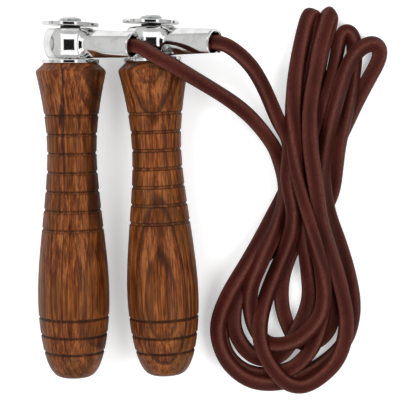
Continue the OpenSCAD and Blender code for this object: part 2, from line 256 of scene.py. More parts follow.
def settle(route, hold, rounds, step):
    """Lets the rope sag onto the floor and onto itself, while each run keeps its place in plan.
    hold is 1 where the rope can't leave the route and 0 where it lies free."""
    path = route.copy()
    hold = hold[:, None]
    aim = route[:, :2].copy()
    skip = math.ceil(SEARCH_SKIP * CONTACT / step) + 1
    floor = ROPE_THICKNESS / 2
    for turn in range(rounds):
        grown = min(1, (turn + 1) / (GROWING * rounds))
        contact = CONTACT * (THIN_START + (1 - THIN_START) * grown)
        layered = max(0, 1 - turn / (LAYERING * rounds))
        path[:, 2] -= SAG
        aim += AIM_GAIN * (route[:, :2] - path[:, :2])
        aim = route[:, :2] + np.clip(aim - route[:, :2], -AIM_LIMIT, AIM_LIMIT)
        path[:, :2] += DRAW_IN * (aim - path[:, :2])
        path[:, 2] += DRAW_UP * layered * (route[:, 2] - path[:, 2])
        if turn % SEARCH_EVERY == 0:
            i, j = near_pairs(path, SEARCH * CONTACT, skip)
            above = route[i, 2] - route[j, 2]
            crossing = np.abs(above) > LAYER
            order = np.sign(above)
        for _ in range(PASSES):
            bent = np.zeros_like(path)
            bent[2:-2] = (-path[:-4] + 4 * path[1:-3] - 6 * path[2:-2] + 4 * path[3:-1] - path[4:]) / 16
            path += BENDING * bent
            link = np.diff(path, axis=0)
            length = np.linalg.norm(link, axis=1, keepdims=True)
            pull = STRETCHING * link * (1 - step / length)
            path[:-1] += pull
            path[1:] -= pull
            gap = path[i] - path[j]
            apart = np.linalg.norm(gap, axis=1) + 1e-9
            beside = np.hypot(gap[:, 0], gap[:, 1])
            rise = np.sqrt(np.maximum(contact**2 - beside**2, 0)) * order
            too_low = (rise - gap[:, 2]) * order > 0
            wrong = np.where(crossing, too_low, apart < contact) & (beside < contact)
            ci, cj = i[wrong], j[wrong]
            push = PUSHING * gap[wrong] * ((contact - apart[wrong]) / apart[wrong])[:, None]
            lift = np.zeros_like(push)
            lift[:, 2] = PUSHING * (rise - gap[:, 2])[wrong]
            push = np.where(crossing[wrong, None], lift, push)
            count = np.bincount(ci, minlength=len(path)) + np.bincount(cj, minlength=len(path))
            shift = np.zeros_like(path)
            np.add.at(shift, ci, push)
            np.add.at(shift, cj, -push)
            path += shift / np.sqrt(np.maximum(1, count))[:, None]
            path[:, 2] = np.maximum(path[:, 2], floor)
            path += hold * (route - path)
    return path


def bends(path):
    """How far each inner sample lies off the middle of its neighbours, twice over."""
    return path[:-2] - 2 * path[1:-1] + path[2:]


def rope_path():
    """The settled middle line of the whole rope, from inside the left tube to inside the right."""
    left = smooth_path(lead_points("left"), PATH_STEP)
    right = smooth_path(lead_points("right")[::-1], PATH_STEP)
    hank = [np.array(p) * MM for p in HANK_ROUTE]
    route = smooth_path(lead_points("left") + hank + lead_points("right")[::-1], PATH_STEP)
    index = np.arange(len(route))
    into_hank = np.minimum(index - len(left) + RELEASE, len(route) - len(right) + RELEASE - index)
    hold = np.clip(1 - into_hank / RELEASE, 0, 1) ** 2
    path = settle(route, hold, ROUNDS, PATH_STEP)
    for turn in range(LEVELLING):
        eased = EASING * bends(path)
        path[1:-1, 2] += eased[:, 2]
        if turn < ROUNDING:
            path[1:-1, :2] += eased[:, :2]
    for _ in range(ROUNDING):
        path = resample(path, PATH_STEP)
        bent = bends(path)
        sharp = np.linalg.norm(bent, axis=1) > PATH_STEP**2 / FOLD_RADIUS
        near = np.convolve(sharp, np.ones(FOLD_SPREAD), "same") > 0
        path[1:-1] += EASING * bent * near[:, None]
    return smooth_path(path, FINE_STEP)


# ---- Meshes ---------------------------------------------------------------------------------

def make_mesh(name, verts, faces, sharp=None):
    """A smooth mesh object; edges that bend more than sharp degrees stay crisp."""
    mesh = bpy.data.meshes.new(name)
    mesh.from_pydata([tuple(v) for v in verts], [], faces)
    mesh.shade_smooth()
    if sharp:
        mesh.set_sharp_from_angle(angle=math.radians(sharp))
    obj = bpy.data.objects.new(name, mesh)
    scene.collection.objects.link(obj)
    return obj


def add_layer(obj, name, kind, values):
    """Stores one value for each vertex, which the materials read by name."""
    layer = obj.data.attributes.new(name, kind, "POINT")
    field = "vector" if kind == "FLOAT_VECTOR" else "value"
    layer.data.foreach_set(field, np.asarray(values, float).ravel())


def loft(rings, closed=True):
    """Faces between rings of the same number of points, with flat caps if closed."""
    count, ring = len(rings), len(rings[0])
    faces = []
    for k in range(count - 1):
        for n in range(ring):
            m = (n + 1) % ring
            faces.append((k * ring + n, k * ring + m, (k + 1) * ring + m, (k + 1) * ring + n))
    if closed:
        faces.append(tuple(range(ring - 1, -1, -1)))
        faces.append(tuple((count - 1) * ring + n for n in range(ring)))
    return faces


def cubic(a, b, c, d, steps):
    """Points on a cubic curve, leaving out the last."""
    t = np.linspace(0, 1, steps, endpoint=False)[:, None]
    a, b, c, d = (np.array(p, float) for p in (a, b, c, d))
    return (1 - t)**3 * a + 3 * (1 - t)**2 * t * b + 3 * (1 - t) * t**2 * c + t**3 * d


def placing(x, y, z, origin):
    """The matrix that lays local axes along x, y and z from an origin."""
    rows = np.stack([x, y, z, origin], 1).tolist()
    return Matrix(rows + [[0, 0, 0, 1]])


def side_matrix(side):
    """Local +Z along the handle's axis from its top face, local +X level, out to the right."""
    foot, along = swivel(side)
    across = unit(np.cross(along, [0, 0, 1]))
    down = np.cross(along, across)
    return placing(across, down, along, foot)


def tube_matrix(side):
    """Local +Z out along the tube from the middle of the barrel."""
    middle, out = tube_axis(side)
    level = unit(np.cross(out, [0, 1, 0]))
    third = np.cross(out, level)
    return placing(level, third, out, middle)


def turned_rings(outline, segments):
    """Rings about +Z through an outline of (radius, height) points in millimetres."""
    turn = np.linspace(0, 2 * math.pi, segments, endpoint=False)
    return [[(r * MM * math.cos(a), r * MM * math.sin(a), z * MM) for a in turn] for r, z in outline]


def lathe(name, outline, matrix, segments=128, sharp=35):
    """A closed turned solid, whose outline starts and ends on the axis."""
    rings = turned_rings(outline, segments)
    verts = [matrix @ Vector(p) for ring in rings for p in ring]
    return make_mesh(name, verts, loft(rings), sharp)


def combine(target, other, operation):
    """A boolean of two meshes, kept as the target's mesh."""
    cut = target.modifiers.new("cut", "BOOLEAN")
    cut.object = other
    cut.operation = operation
    cut.solver = "EXACT"
    result = bpy.data.meshes.new_from_object(target.evaluated_get(bpy.context.evaluated_depsgraph_get()))
    target.modifiers.clear()
    target.data = result
    bpy.data.objects.remove(other)


def carried_sides(path):
    """Side and up directions that carry along the path without spinning."""
    forward = unit_rows(np.gradient(path, axis=0))
    side = unit(np.cross(forward[0], [0, 0, 1]))
    sides = []
    for f in forward:
        side = unit(side - side.dot(f) * f)
        sides.append(side)
    return np.array(sides), np.cross(sides, forward)


def eased_out(values):
    """The values with their changes spread over TWIST_REACH samples to both sides."""
    window = np.hanning(2 * TWIST_REACH + 1)
    return np.convolve(np.pad(values, TWIST_REACH, mode="edge"), window / window.sum(), "valid")


def thin_angles(path, side, up):
    """The way the flat of the rope turns: its thin side faces the runs and the floor beside it.
    Directions are summed as double angles, because the thin way has no front and back."""
    i, j = near_pairs(path, NOTICE * CONTACT, NOTICE_SKIP)
    pull = np.zeros((len(path), 2))
    for a, b in ((i, j), (j, i)):
        gap = path[b] - path[a]
        x = (gap * side[a]).sum(1)
        y = (gap * up[a]).sum(1)
        twice = 2 * np.arctan2(y, x)
        weight = np.clip(NOTICE - np.hypot(x, y) / CONTACT, 0, 1)
        np.add.at(pull, a, np.stack([weight * np.cos(twice), weight * np.sin(twice)], 1))
    on_floor = np.clip(FLOOR_NOTICE - path[:, 2] / (0.5 * CONTACT), 0, 1)[:, None]
    twice = 2 * np.arctan2(up[:, 2], side[:, 2])
    pull += (FLAT_HABIT + FLOOR_PULL * on_floor) * np.stack([np.cos(twice), np.sin(twice)], 1)
    eased = np.stack([eased_out(pull[:, 0]), eased_out(pull[:, 1])], 1)
    return eased_out(np.unwrap(np.arctan2(eased[:, 1], eased[:, 0])) / 2)


def make_rope(path):
    """The strap as one closed tube. It keeps, for its material, the place of each point in the
    flat strap (along, through, across) in millimetres and how close it is to a corner."""
    side, up = carried_sides(path)
    angle = thin_angles(path, side, up)[:, None]
    flat_way = np.cos(angle) * side + np.sin(angle) * up
    coarse = np.arange(len(path))
    path = smooth_path(path, RING_STEP)
    at = np.linspace(0, coarse[-1], len(path))
    forward = unit_rows(np.gradient(path, axis=0))
    thin = np.array([np.interp(at, coarse, flat_way[:, k]) for k in range(3)]).T
    thin = unit_rows(thin - (thin * forward).sum(1, keepdims=True) * forward)
    wide = np.cross(thin, forward)
    turn = np.linspace(0, 2 * math.pi, ROPE_SIDES, endpoint=False)
    across = np.sign(np.cos(turn)) * np.abs(np.cos(turn)) ** ROPE_SQUARENESS * ROPE_THICKNESS / 2
    along = np.sign(np.sin(turn)) * np.abs(np.sin(turn)) ** ROPE_SQUARENESS * ROPE_WIDTH / 2
    travelled = np.arange(len(path)) * np.linalg.norm(path[1] - path[0])
    uneven = np.array([noise.noise(Vector((UNEVEN_PITCH * t, *UNEVEN_SEED))) for t in travelled])
    from_end = np.minimum(travelled, travelled[-1] - travelled)
    slim = LEAD_NARROWING * smoothstep(1.5 - from_end / NARROW_LENGTH)
    size = (1 + UNEVENNESS * uneven - slim)[:, None, None]
    rings = path[:, None] + size * (across[:, None] * thin[:, None] + along[:, None] * wide[:, None])
    rope = make_mesh("rope", rings.reshape(-1, 3), loft(rings))
    flat = np.stack([np.broadcast_to(v, rings.shape[:2]) for v in (travelled[:, None], across, along)], 2)
    add_layer(rope, "leather", "FLOAT_VECTOR", flat / MM)
    squareness = 2 * np.abs(across / ROPE_THICKNESS) * 2 * np.abs(along / ROPE_WIDTH)
    corner = CORNER_GAIN * squareness**CORNER_POWER
    add_layer(rope, "corner", "FLOAT", np.broadcast_to(np.clip(corner, 0, 1), rings.shape[:2]))
    return rope


# ---- Handles --------------------------------------------------------------------------------

# The turned outline in cubic runs, as (distance below the top face, radius) in millimetres
HANDLE_RUNS = [
    ((0, 12.7), (1, 13.75), (2, 14.85), (3, 15.95)),
    ((3, 15.95), (3.4, 16.3), (3.9, 16.45), (4.4, 16.45)),
    ((4.4, 16.45), (16, 13.9), (28, 11.7), (42, 11.7)),
    ((42, 11.7), (62, 11.7), (89, 17.05), (111, 17.05)),
    ((111, 17.05), (127, 17.05), (147, 14.2), (149.3, 8)),
    ((149.3, 8), (149.8, 6.5), (150, 3), (150, 0.4)),
]
FIRST_GROOVE = 24.3
GROOVE_PITCH = {"left": 8.95, "right": 8.6}
LOWER_GROOVES = {"left": [120.3, 128.7, 137], "right": [121.4, 129.9, 137.6]}
UPPER_GROOVES = 7
GROOVE_DEPTH = 0.5
GROOVE_HALF = 1.0
GROOVE_WALL = 0.65
HANDLE_LENGTH = 150
RUN_STEPS = 60
LENGTH_STEP = 1.5           # between the rings of the mesh on smooth wood
GROOVE_STEP = 0.16          # and at the grooves
TURN_SEGMENTS = 128
# Burnt lines of the upper grooves: how far below the groove's middle, half width, strength
BURNT_LINES = {"left": [(-0.15, 0.4, 0.9), (0.9, 0.25, 0.4)],
               "right": [(-0.62, 0.28, 0.8), (0.62, 0.28, 0.8)]}
BURNT_BETWEEN = {"left": 0.0, "right": 0.25}
BETWEEN_HALF = 0.6
LOWER_BURN = 0.9
LOWER_BURN_HALF = 0.9
LOWER_BURN_EDGE = 0.5
# A hand-held gouge leaves the wood a few hundredths of a millimetre out of round
OUT_OF_ROUND = 0.0016
ROUND_SEED = {"left": 7.0, "right": 19.0}
ROUND_PITCH = 0.05          # hollows and swells per millimetre along the handle


def burnt(below, side, lower):
    """How dark the wood is at a distance below a groove's middle, in millimetres. The lower
    grooves are burnt all over, the left handle's upper ones in a strong and a faint line, and
    the right handle's along both edges."""
    if lower:
        return LOWER_BURN * smoothstep((LOWER_BURN_HALF - np.abs(below)) / LOWER_BURN_EDGE)
    lines = [strength * np.exp(-((below - middle) / half) ** 2)
             for middle, half, strength in BURNT_LINES[side]]
    between = BURNT_BETWEEN[side] * (np.abs(below) < BETWEEN_HALF)
    return np.max([*lines, between], axis=0)


def make_handle(side):
    """The turned handle. It keeps, for its material, each point's place before it is laid in the
    frame, in millimetres, and how burnt the wood is there."""
    outline = np.vstack([cubic(*run, RUN_STEPS) for run in HANDLE_RUNS] + [[HANDLE_RUNS[-1][-1]]])
    upper = [FIRST_GROOVE + GROOVE_PITCH[side] * k for k in range(UPPER_GROOVES)]
    grooves = upper + LOWER_GROOVES[side]
    near = GROOVE_STEP * np.arange(-10, 11)
    even = np.arange(0, HANDLE_LENGTH - 1, LENGTH_STEP)
    heights = np.concatenate([outline[::5, 0], even] + [g + near for g in grooves])
    heights = np.unique(np.round(heights, 3))
    heights = heights[(heights >= 0) & (heights <= HANDLE_LENGTH)]
    radius = np.interp(heights, outline[:, 0], outline[:, 1])
    burn = np.zeros(len(heights))
    for g in grooves:
        radius = radius - GROOVE_DEPTH * smoothstep((GROOVE_HALF - np.abs(heights - g)) / GROOVE_WALL)
        burn = np.maximum(burn, burnt(heights - g, side, g in LOWER_GROOVES[side]))
    turn = np.linspace(0, 2 * math.pi, TURN_SEGMENTS, endpoint=False)
    rings = []
    for h, r in zip(heights, radius):
        along = ROUND_PITCH * h + ROUND_SEED[side]
        wobble = [1 + OUT_OF_ROUND * noise.noise(Vector((2 * math.cos(a), 2 * math.sin(a), along)))
                  for a in turn]
        rings.append([(r * w * math.cos(a), r * w * math.sin(a), -h) for a, w in zip(turn, wobble)])
    local = np.array(rings).reshape(-1, 3)
    matrix = side_matrix(side)
    handle = make_mesh(f"{side}_turned_handle", [matrix @ Vector(p * MM) for p in local],
                       [face[::-1] for face in loft(rings)], 40)
    add_layer(handle, "turned", "FLOAT_VECTOR", local)
    add_layer(handle, "burn", "FLOAT", np.repeat(burn, TURN_SEGMENTS))
    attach(handle, f"{side}_grip")
    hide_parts(f"{side}_handle")
    return handle


# ---- Swivel fittings ------------------------------------------------------------------------

BARREL_R = 12.7
BARREL_HALF = 7
BEARING_R = 8
BEARING_DEPTH = 5
INNER_R = 6.3
TUBE_R = 6.5
BORE_R = 4.6
ROOT_BORE_R = 3.5
BLEND_R = 4
BARREL_BEVEL = 0.35
RIM = 0.15                  # the barrel's flat ends stand this far past the tube's root
TUBE_FOOT = 6               # where the tube starts inside the barrel
TUBE_LIP = 0.6
MOUTH_BEVEL = 0.9
SLAB_R = 60                 # the slab that trims the tube's root to the barrel's height
CUTTER_HALF = 20            # half height of the shape that cuts the bearings' bore
# Outline of the hole and the flat seat for the clamp screw, as (radius, distance from the tube's axis)
CLAMP_SEAT = [(0, 3.2), (1.55, 3.2), (1.55, 6.1), (2.7, 6.1), (2.7, 12), (0, 12)]
WASHER_R = 13.4
WASHER_HALF = 0.95
WASHER_EDGE = 0.45
WASHER_HOLE_R = 2.65
# The upper washer sits loose on the screw, a little off square, in degrees
WASHER_TILT = {"left": 2.3, "right": 3.8}


def barrel_outline():
    """A ball cut off flat at both ends, with the cut edges broken."""
    top = math.asin((BARREL_HALF - BARREL_BEVEL) / BARREL_R)
    ball = [(BARREL_R * math.cos(a), BARREL_R * math.sin(a)) for a in np.linspace(-top, top, 41)]
    edge = math.sqrt(BARREL_R**2 - BARREL_HALF**2) - BARREL_BEVEL
    return [(0, -BARREL_HALF), (edge, -BARREL_HALF)] + ball + [(edge, BARREL_HALF), (0, BARREL_HALF)]


def tube_outline(reach):
    """The tube with its rounded mouth and a concave blend that touches the ball."""
    steps = np.linspace(0, 1, 17)
    middle = (TUBE_R + BLEND_R, math.sqrt((BARREL_R + BLEND_R)**2 - (TUBE_R + BLEND_R)**2))
    touch = math.atan2(middle[1], middle[0])
    blend = [(middle[0] - BLEND_R * math.cos(a), middle[1] - BLEND_R * math.sin(a))
             for a in touch * (1 - steps)]
    mouth = [(TUBE_R - TUBE_LIP * (1 - math.cos(a)), reach - TUBE_LIP * (1 - math.sin(a)))
             for a in steps[::4] * math.pi / 2]
    return [(0, TUBE_FOOT), (blend[0][0], TUBE_FOOT)] + blend + mouth + [(0, reach)]


def clamp_matrix(side):
    """Local +Z out from the tube's axis through its wall, where the clamp screw goes in."""
    low, high = (np.array(corner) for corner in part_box(f"{side}_clamp_screw"))
    middle, out = tube_axis(side)
    from_middle = (low + high) / 2 - middle
    foot = middle + from_middle.dot(out) * out
    outward = unit(middle + from_middle - foot)
    third = np.cross(outward, out)
    return placing(out, third, outward, foot)


def make_eye(side):
    """The barrel and its tube in one, with the bearings' bore, the rope's socket and the hole of
    the clamp screw cut out."""
    reach = TUBE_REACH / MM
    barrel_matrix = side_matrix(side) @ Matrix.Translation((0, 0, EYE_HEIGHT))
    tube_place = tube_matrix(side)
    eye = lathe(f"{side}_chrome_eye", tube_outline(reach), tube_place)
    level = BARREL_HALF - RIM
    slab = [(0, -level), (SLAB_R, -level), (SLAB_R, level), (0, level)]
    combine(eye, lathe("slab", slab, barrel_matrix, 32), "INTERSECT")
    combine(eye, lathe("barrel", barrel_outline(), barrel_matrix), "UNION")
    deep = BARREL_HALF - BEARING_DEPTH
    bore = [(0, -CUTTER_HALF), (BEARING_R, -CUTTER_HALF), (BEARING_R, -deep), (INNER_R, -deep),
            (INNER_R, deep), (BEARING_R, deep), (BEARING_R, CUTTER_HALF), (0, CUTTER_HALF)]
    combine(eye, lathe("bore", bore, barrel_matrix), "DIFFERENCE")
    start, step = SOCKET_END / MM, SOCKET_STEP / MM
    socket = [(0, start), (ROOT_BORE_R, start), (ROOT_BORE_R, step), (BORE_R, step + 1),
              (BORE_R, reach - 0.7), (BORE_R + MOUTH_BEVEL, reach + 0.3), (0, reach + 0.3)]
    combine(eye, lathe("socket", socket, tube_place), "DIFFERENCE")
    combine(eye, lathe("seat", CLAMP_SEAT, clamp_matrix(side), 48), "DIFFERENCE")
    eye.data.shade_smooth()
    eye.data.set_sharp_from_angle(angle=math.radians(28))
    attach(eye, "rope_and_eyes")
    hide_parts(f"{side}_swivel_eye")
    return eye


def make_washer(side, which):
    """A thick plated washer whose rims are rounded over."""
    low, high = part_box(f"{side}_{which}_washer")
    foot, along = swivel(side)
    middle = (np.array(low) + np.array(high)) / 2
    height = (middle - foot).dot(along) / MM
    arc = np.linspace(0, math.pi / 2, 7)
    inner = WASHER_R - WASHER_EDGE
    lower = [(inner + WASHER_EDGE * math.sin(a), -WASHER_HALF + WASHER_EDGE * (1 - math.cos(a)))
             for a in arc]
    upper = [(inner + WASHER_EDGE * math.cos(a), WASHER_HALF - WASHER_EDGE * (1 - math.sin(a)))
             for a in arc]
    outline = [(WASHER_HOLE_R, -WASHER_HALF)] + lower + upper + [(WASHER_HOLE_R, WASHER_HALF)]
    tilt = WASHER_TILT[side] if which == "upper" else 0
    matrix = (side_matrix(side) @ Matrix.Translation((0, 0, height * MM))
              @ Matrix.Rotation(math.radians(tilt), 4, "Y"))
    rings = turned_rings(outline, TURN_SEGMENTS)
    faces = loft(rings, closed=False)
    last = (len(rings) - 1) * TURN_SEGMENTS
    for n in range(TURN_SEGMENTS):
        m = (n + 1) % TURN_SEGMENTS
        faces.append((n, last + n, last + m, m))
    verts = [matrix @ Vector(p) for ring in rings for p in ring]
    washer = make_mesh(f"{side}_{which}_plated_washer", verts, faces, 40)
    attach(washer, f"{side}_grip")
    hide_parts(f"{side}_{which}_washer")
    return washer


# ---- Materials ------------------------------------------------------------------------------

def grey(level):
    return (level, level, level)


class Nodes:
    """A node tree, with a short call for each kind of node that the looks use."""

    def __init__(self, tree):
        self.tree = tree

    def feed(self, socket, value):
        if isinstance(value, bpy.types.NodeSocket):
            self.tree.links.new(value, socket)
        else:
            socket.default_value = value

    def node(self, kind, inputs=(), **settings):
        made = self.tree.nodes.new(kind)
        for key, value in settings.items():
            setattr(made, key, value)
        for key, value in dict(inputs).items():
            self.feed(made.inputs[key], value)
        return made

    def attribute(self, name, output="Vector"):
        return self.node("ShaderNodeAttribute", attribute_name=name).outputs[output]

    def place(self, vector, scale, offset=(0, 0, 0)):
        inputs = {"Vector": vector, "Scale": scale, "Location": offset}
        return self.node("ShaderNodeMapping", inputs).outputs[0]

    def coordinate(self, name):
        return self.node("ShaderNodeTexCoord").outputs[name]

    def noise(self, vector, detail=3, roughness=0.55):
        return self.node("ShaderNodeTexNoise", {"Vector": vector, "Scale": 1.0, "Detail": detail,
                                                "Roughness": roughness}).outputs[0]

    def math(self, operation, a, b=0.0):
        return self.node("ShaderNodeMath", {0: a, 1: b}, operation=operation).outputs[0]

    def add(self, a, b):
        return self.math("ADD", a, b)

    def less(self, a, b):
        return self.math("SUBTRACT", a, b)

    def times(self, a, b):
        return self.math("MULTIPLY", a, b)

    def away(self, a, b):
        return self.math("ABSOLUTE", self.less(a, b))

    def band(self, value, low, high, out_low=0.0, out_high=1.0):
        return self.node("ShaderNodeMapRange", {"Value": value, "From Min": low, "From Max": high,
                                                "To Min": out_low, "To Max": out_high},
                         interpolation_type="SMOOTHSTEP").outputs[0]

    def mix(self, factor, a, b):
        made = self.node("ShaderNodeMix", {"Factor": factor}, data_type="RGBA")
        colours = [s for s in made.inputs if s.type == "RGBA"]
        for socket, value in zip(colours, (a, b)):
            self.feed(socket, value if isinstance(value, bpy.types.NodeSocket) else (*value, 1))
        return next(s for s in made.outputs if s.type == "RGBA")

    def ramp(self, value, stops):
        made = self.node("ShaderNodeValToRGB", {"Fac": value})
        points = made.color_ramp.elements
        points[0].position, points[0].color = stops[0][0], (*stops[0][1], 1)
        points[1].position, points[1].color = stops[-1][0], (*stops[-1][1], 1)
        for position, colour in stops[1:-1]:
            points.new(position).color = (*colour, 1)
        return made.outputs[0]

    def bump(self, height, distance, strength=1.0, under=None):
        inputs = {"Height": height, "Distance": distance, "Strength": strength}
        if under:
            inputs["Normal"] = under
        return self.node("ShaderNodeBump", inputs).outputs[0]


class Look(Nodes):
    """A material and the inputs of its principled shader."""

    def __init__(self, name, **shader_values):
        self.material = bpy.data.materials.new(name)
        self.material.use_nodes = True
        super().__init__(self.material.node_tree)
        for key, value in shader_values.items():
            self.set(key.replace("_", " "), value)

    def set(self, name, value):
        self.feed(self.tree.nodes["Principled BSDF"].inputs[name], value)


# Dark veins on the front of each handle, in the handle's millimetres: middle across, half width,
# top and bottom along it, strength
VEINS = {
    "left": [(-2.8, 1.1, -2, -50, 1.0), (11.5, 3.5, -4, -72, 0.85), (-8.5, 0.6, -50, -112, 0.5),
             (3.5, 0.7, -60, -80, 0.6)],
    "right": [(0.0, 2.2, -78, -90, 0.7), (-7.5, 1.0, -20, -60, 0.4)],
}
VEIN_SWAY = 8.0
RING_SPACING = 2.4
# The heart that each handle's growth rings go round, in its millimetres, and how it leans
HEART = {"left": (-45.0, 22.0), "right": (2.0, 62.0)}
HEART_LEAN = {"left": 0.05, "right": 0.0}
RING_WAVE = {"left": 6.0, "right": 2.4}
# The one darkest growth ring of each handle, by its radius about the heart
DARK_RING = {"left": 30.0, "right": 76.6}
GRAIN_SHIFT = {"left": (0, 0, 0), "right": (31, 17, 240)}
TONE_LIFT = {"left": 0.0, "right": 0.045}
# Colours of the wood, from the darkest fibres to the palest, and of what lies over them
WOOD_TONES = [(0.14, (0.034, 0.0078, 0.0018)), (0.38, (0.088, 0.0205, 0.0042)),
              (0.60, (0.172, 0.0455, 0.0100)), (0.82, (0.285, 0.0950, 0.0250))]
WOOD_CAST = (0.105, 0.0400, 0.0085)
DARKEST_RING = (0.026, 0.0066, 0.0022)
LATE_WOOD = (0.030, 0.0070, 0.0024)
STREAK = (0.030, 0.0075, 0.0022)
VEIN = (0.020, 0.0060, 0.0028)
PORE = (0.018, 0.0050, 0.0022)
CHAR = (0.014, 0.0050, 0.0026)


def growth_rings(look, side, x, y, z, wave, ripple):
    """The distance from the heart, bent by slow waves, in millimetres."""
    off_x = look.add(look.less(x, HEART[side][0]), look.times(z, HEART_LEAN[side]))
    off_y = look.less(y, HEART[side][1])
    rings = look.math("SQRT", look.add(look.times(off_x, off_x), look.times(off_y, off_y)))
    return look.add(look.add(rings, look.times(wave, RING_WAVE[side])), look.times(ripple, 0.9))


def ringed_wood(look, side, at, rings, fibre):
    """Brown wood, light and dark with its rings, fibres and slow stains."""
    ring = look.math("FRACT", look.math("DIVIDE", rings, RING_SPACING))
    growth = look.times(look.band(ring, 0.0, 0.75), look.band(ring, 1.0, 0.88))
    mottle = look.noise(look.place(at, (0.25, 0.25, 0.05)), 3, 0.6)
    tone = look.add(look.times(growth, 0.20), look.band(fibre, 0.33, 0.67, 0.0, 0.48))
    lift = TONE_LIFT[side]
    tone = look.add(tone, look.band(mottle, 0.3, 0.7, lift, lift + 0.32))
    base = look.ramp(tone, WOOD_TONES)
    cast = look.noise(look.place(at, (0.10, 0.10, 0.03)), 2)
    base = look.mix(look.band(cast, 0.45, 0.65, 0.0, 0.45), base, WOOD_CAST)
    darkest = look.band(look.away(rings, DARK_RING[side]), 0.45, 0.1, 0.0, 0.7)
    base = look.mix(darkest, base, DARKEST_RING)
    edge = look.band(look.away(ring, 0.5), 0.36, 0.48)
    season = look.node("ShaderNodeCombineXYZ", {0: look.times(rings, 0.33)}).outputs[0]
    strong = look.band(look.noise(season, 1), 0.45, 0.62, 0.1, 1.0)
    late = look.times(look.times(edge, strong), look.band(fibre, 0.3, 0.6, 0.35, 0.75))
    base = look.mix(late, base, LATE_WOOD)
    streak = look.noise(look.place(at, (0.55, 0.55, 0.010)), 3, 0.65)
    return look.mix(look.band(streak, 0.54, 0.66, 0.0, 0.5), base, STREAK)


def veined(look, side, base, x, y, z, ripple, fibre):
    """The wood with its dark veins, which show on the front of the handle only."""
    sway = look.times(look.less(ripple, 0.5), VEIN_SWAY)
    for middle, width, top, bottom, strength in VEINS[side]:
        from_middle = look.math("ABSOLUTE", look.add(look.less(x, middle), sway))
        vein = look.times(look.band(from_middle, width, 0.2 * width, 0.0, strength),
                          look.times(look.band(z, bottom - 8, bottom), look.band(z, top + 6, top)))
        broken = look.times(vein, look.band(fibre, 0.35, 0.55, 0.45, 1.0))
        front = look.times(broken, look.math("LESS_THAN", y, 0.0))
        base = look.mix(front, base, VEIN)
    return base


def wood_look(side):
    """Sheesham: rings about a heart behind the handle, fine fibre, dark veins and burnt grooves."""
    look = Look(f"{side}_sheesham", Specular_IOR_Level=0.2)
    turned = look.attribute("turned")
    at = look.place(turned, (1, 1, 1), GRAIN_SHIFT[side])
    x, y, z = look.node("ShaderNodeSeparateXYZ", {0: turned}).outputs
    wave = look.noise(look.place(at, (0.05, 0.05, 0.012)), 2)
    ripple = look.noise(look.place(at, (0.30, 0.30, 0.045)), 2)
    fibre = look.noise(look.place(at, (1.5, 1.5, 0.024)), 4, 0.7)
    rings = growth_rings(look, side, x, y, z, wave, ripple)
    base = ringed_wood(look, side, at, rings, fibre)
    base = veined(look, side, base, x, y, z, ripple, fibre)
    pores = look.noise(look.place(at, (4.2, 4.2, 0.22)), 2, 0.5)
    pore = look.band(pores, 0.62, 0.70)
    base = look.mix(look.times(pore, 0.5), base, PORE)
    burn = look.attribute("burn", "Fac")
    uneven = look.noise(look.place(at, (0.5, 0.5, 0.5)), 2)
    base = look.mix(look.times(burn, look.band(uneven, 0.2, 0.6, 0.5, 0.95)), base, CHAR)
    look.set("Base Color", base)
    sheen = look.noise(look.place(at, (0.3, 0.3, 0.05)), 2)
    look.set("Roughness", look.add(look.band(sheen, 0.3, 0.7, 0.32, 0.46), look.times(burn, 0.25)))
    relief = look.less(look.times(fibre, 0.5), look.times(pore, 0.6))
    look.set("Normal", look.bump(relief, 0.10 * MM))
    return look.material


LEATHER_TONES = [(0.30, (0.026, 0.0037, 0.0026)), (0.52, (0.041, 0.0061, 0.0042)),
                 (0.72, (0.060, 0.0098, 0.0066))]
PULLED_UP = (0.068, 0.0120, 0.0064)
PIT = (0.014, 0.0028, 0.0022)
RAISED_GRAIN = (0.110, 0.0280, 0.0190)
# Painted highlight: the light colour laid along the strap's corners where they catch the light
CORNER_HIGHLIGHT = (0.200, 0.0720, 0.0520)
RUBBER = (0.010, 0.010, 0.011)
RUBBER_DUST = (0.035, 0.034, 0.033)


def leather_look():
    """Oxblood strap leather: fine grain, soft mottling, corners painted lighter as a highlight, and
    corners smoother.
    """
    look = Look("oxblood_leather", Specular_IOR_Level=0.10)
    at = look.attribute("leather")
    mottle = look.noise(look.place(at, (0.06, 0.25, 0.25)), 3, 0.6)
    pull_up = look.noise(look.place(at, (0.012, 0.1, 0.1)), 2)
    grain = look.node("ShaderNodeTexVoronoi", {"Vector": look.place(at, (0.9, 1.1, 1.1)), "Scale": 1.0},
                      feature="F1").outputs["Distance"]
    pits = look.noise(look.place(at, (1.7, 2.4, 2.4)), 4, 0.72)
    base = look.ramp(mottle, LEATHER_TONES)
    base = look.mix(look.band(pull_up, 0.5, 0.7, 0.0, 0.3), base, PULLED_UP)
    base = look.mix(look.band(pits, 0.52, 0.66, 0.0, 0.6), base, PIT)
    base = look.mix(look.band(pits, 0.44, 0.30, 0.0, 0.3), base, RAISED_GRAIN)
    corner = look.attribute("corner", "Fac")
    # Painted highlight: the corners are lightened where they catch the light, broken up by the grain
    corner_highlight = look.times(corner, look.band(pits, 0.6, 0.35, 0.25, 1.0))
    look.set("Base Color", look.mix(corner_highlight, base, CORNER_HIGHLIGHT))
    look.set("Roughness", look.less(look.band(pits, 0.3, 0.7, 0.34, 0.52), look.times(corner, 0.08)))
    fine = look.bump(pits, 0.16 * MM)
    look.set("Normal", look.bump(grain, 0.10 * MM, 0.8, fine))
    return look.material


